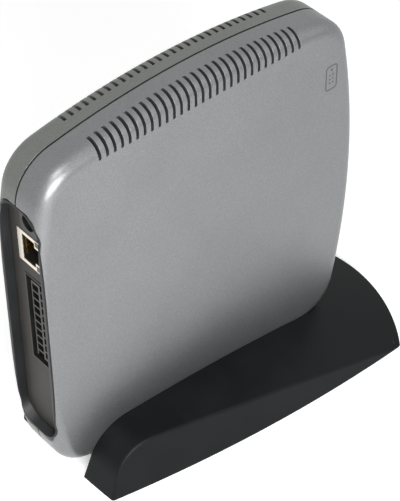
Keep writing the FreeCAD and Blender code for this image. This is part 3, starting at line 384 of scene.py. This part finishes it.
def printed_piece(name, bm, body, finish):
    """Gives the drawn shape its film thickness and sets it on the body."""
    faces = list(bm.faces)
    raised = bmesh.ops.extrude_face_region(bm, geom=faces)
    moved = [v for v in raised["geom"] if isinstance(v, bmesh.types.BMVert)]
    bmesh.ops.translate(bm, verts=moved, vec=(0, -PRINT_DEPTH, 0))
    bmesh.ops.recalc_face_normals(bm, faces=bm.faces)
    mesh = bpy.data.meshes.new(name)
    bm.to_mesh(mesh)
    bm.free()
    mesh.materials.append(finish)
    piece = bpy.data.objects.new(name, mesh)
    bpy.context.scene.collection.objects.link(piece)
    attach(piece, body)
    return piece


def pad_print(name, colour, dark):
    """Matt pad-printing ink, a little uneven where the pad lifted."""
    material, tree, shader, coords = new_finish(name)
    speckle = add(tree, "ShaderNodeTexNoise", Vector=coords, Scale=per_mm(0.4), Detail=2.0)
    tone = mix(tree, ramp(tree, speckle.outputs["Fac"], 0.35, 0.65), linear(dark), linear(colour))
    tree.links.new(tone, shader.inputs["Base Color"])
    tree.links.new(ramp(tree, speckle.outputs["Fac"], 0.3, 0.7, 0.5, 0.65), shader.inputs["Roughness"])
    shader.inputs["IOR"].default_value = 1.5
    return material


# %% Remote mark
INK = pad_print("grey_ink", "#4a4b4c", "#3f4041")
REMOTE_X = 51.7 * MM
REMOTE_Z = 130.7 * MM
REMOTE_WIDTH = 6.0 * MM
REMOTE_HEIGHT = 11.5 * MM
REMOTE_CORNER = 1.6 * MM
REMOTE_LINE = 0.6 * MM
KEY_RADIUS = 0.42 * MM
TOP_KEY_RADIUS = 0.6 * MM
TOP_KEY_RISE = 3.6 * MM
FIRST_ROW_RISE = 1.2 * MM
ROW_PITCH = 1.8 * MM
COLUMN_HALF = 0.8 * MM

symbol = bmesh.new()
middle = (REMOTE_X, NEAR_FACE, REMOTE_Z)
printed_ring(symbol, middle, REMOTE_WIDTH, REMOTE_HEIGHT, REMOTE_CORNER, REMOTE_LINE)
printed_disc(symbol, (REMOTE_X, NEAR_FACE, REMOTE_Z + TOP_KEY_RISE), TOP_KEY_RADIUS)
for row in range(3):
    for side in (-1, 1):
        key_z = REMOTE_Z + FIRST_ROW_RISE - row * ROW_PITCH
        printed_disc(symbol, (REMOTE_X + side * COLUMN_HALF, NEAR_FACE, key_z), KEY_RADIUS)
remote = printed_piece("remote_mark", symbol, "player", INK)
print("remote mark:", len(remote.data.polygons), "faces")

# %% [markdown]
# ## Floor, light and camera
#
# The photo shows the player alone on white. The floor is pale matte paper and
# the world is white. To the camera, and in what metal and gloss reflect, the
# paper adds a little light of its own, so it reads as white where no shadow
# falls, and still keeps the object's shadow. A soft lamp near the camera
# lights the corner that faces it, a second one low on the left brightens the
# lower left of the face, and a third fills from the right.


# %% Rays that should meet white
def background_rays(tree):
    """1 for a ray from the camera, a mirror or glass, and 0 for the rest."""
    path = add(tree, "ShaderNodeLightPath").outputs
    direct = add(tree, "ShaderNodeMath", {"operation": "MAXIMUM"})
    tree.links.new(path["Is Camera Ray"], direct.inputs[0])
    tree.links.new(path["Is Glossy Ray"], direct.inputs[1])
    both = add(tree, "ShaderNodeMath", {"operation": "MAXIMUM"})
    tree.links.new(direct.outputs[0], both.inputs[0])
    tree.links.new(path["Is Transmission Ray"], both.inputs[1])
    return both.outputs[0]


# %% Floor
def matte_floor():
    bm = bmesh.new()
    bmesh.ops.create_grid(bm, x_segments=1, y_segments=1, size=6.0)
    mesh = bpy.data.meshes.new("floor")
    bm.to_mesh(mesh)
    bm.free()
    floor = bpy.data.objects.new("floor", mesh)
    bpy.context.scene.collection.objects.link(floor)
    material, tree, shader, coords = new_finish("white_paper")
    fibre = add(tree, "ShaderNodeTexNoise", Vector=coords, Scale=per_mm(1.0), Detail=2.0)
    paper = mix(tree, fibre.outputs["Fac"], linear("#f2f2f2"), linear("#fafafa"))
    tree.links.new(paper, shader.inputs["Base Color"])
    shader.inputs["Roughness"].default_value = 0.9
    shader.inputs["Emission Color"].default_value = (1.0, 1.0, 1.0, 1.0)
    glow = ramp(tree, background_rays(tree), 0.0, 1.0, 0.0, 0.35)
    tree.links.new(glow, shader.inputs["Emission Strength"])
    mesh.materials.append(material)
    return floor


matte_floor()


# %% World and lamps
def studio():
    world = bpy.data.worlds.new("studio")
    world.use_nodes = True
    tree = world.node_tree
    tree.nodes.clear()
    soft = add(tree, "ShaderNodeBackground", Color=(1.0, 1.0, 1.0, 1.0), Strength=0.45)
    white = add(tree, "ShaderNodeBackground", Color=(1.0, 1.0, 1.0, 1.0), Strength=1.0)
    both = add(tree, "ShaderNodeMixShader", Fac=background_rays(tree))
    tree.links.new(soft.outputs[0], both.inputs[1])
    tree.links.new(white.outputs[0], both.inputs[2])
    add(tree, "ShaderNodeOutputWorld", Surface=both.outputs[0])
    bpy.context.scene.world = world


def lamp(name, place, target, width, height, watts):
    """A soft rectangular lamp that faces its target."""
    data = bpy.data.lights.new(name, "AREA")
    data.shape = "RECTANGLE"
    data.size = width
    data.size_y = height
    data.energy = watts
    light = bpy.data.objects.new(name, data)
    light.location = place
    light.rotation_euler = (Vector(target) - Vector(place)).to_track_quat("-Z", "Y").to_euler()
    light.visible_camera = False
    bpy.context.scene.collection.objects.link(light)
    return light


studio()
lamp("key", (-0.45, -0.4, 1.1), (-0.04, 0, 0.12), 0.5, 0.35, 5)
lamp("low_left", (-0.25, -0.42, 0.28), (-0.03, -0.03, 0.03), 0.3, 0.2, 3)
lamp("fill", (0.9, -0.9, 0.9), (0, 0, 0.05), 1.0, 1.0, 1.5)


# %% Camera
def photo_camera():
    """A long lens at the photo's place, solved from the parting line, the vents and the sockets."""
    azimuth, elevation, roll = (math.radians(a) for a in (-40.724, 43.683, -0.544))
    back = Vector((
        math.sin(azimuth) * math.cos(elevation),
        -math.cos(azimuth) * math.cos(elevation),
        math.sin(elevation),
    ))
    right = (-back).cross(Vector((0, 0, 1))).normalized()
    up = right.cross(-back)
    turned_right = math.cos(roll) * right + math.sin(roll) * up
    turned_up = math.cos(roll) * up - math.sin(roll) * right
    data = bpy.data.cameras.new("photo_camera")
    data.lens = 133.78
    data.sensor_width = 36
    data.clip_start = 0.05
    data.clip_end = 20
    camera = bpy.data.objects.new("photo_camera", data)
    axes = Matrix((turned_right, turned_up, back)).transposed().to_4x4()
    camera.matrix_world = Matrix.Translation((-0.33965, -0.39158, 0.56092)) @ axes
    bpy.context.scene.collection.objects.link(camera)
    bpy.context.scene.camera = camera
    return camera


photo_camera()
bpy.context.scene.view_settings.view_transform = "Standard"
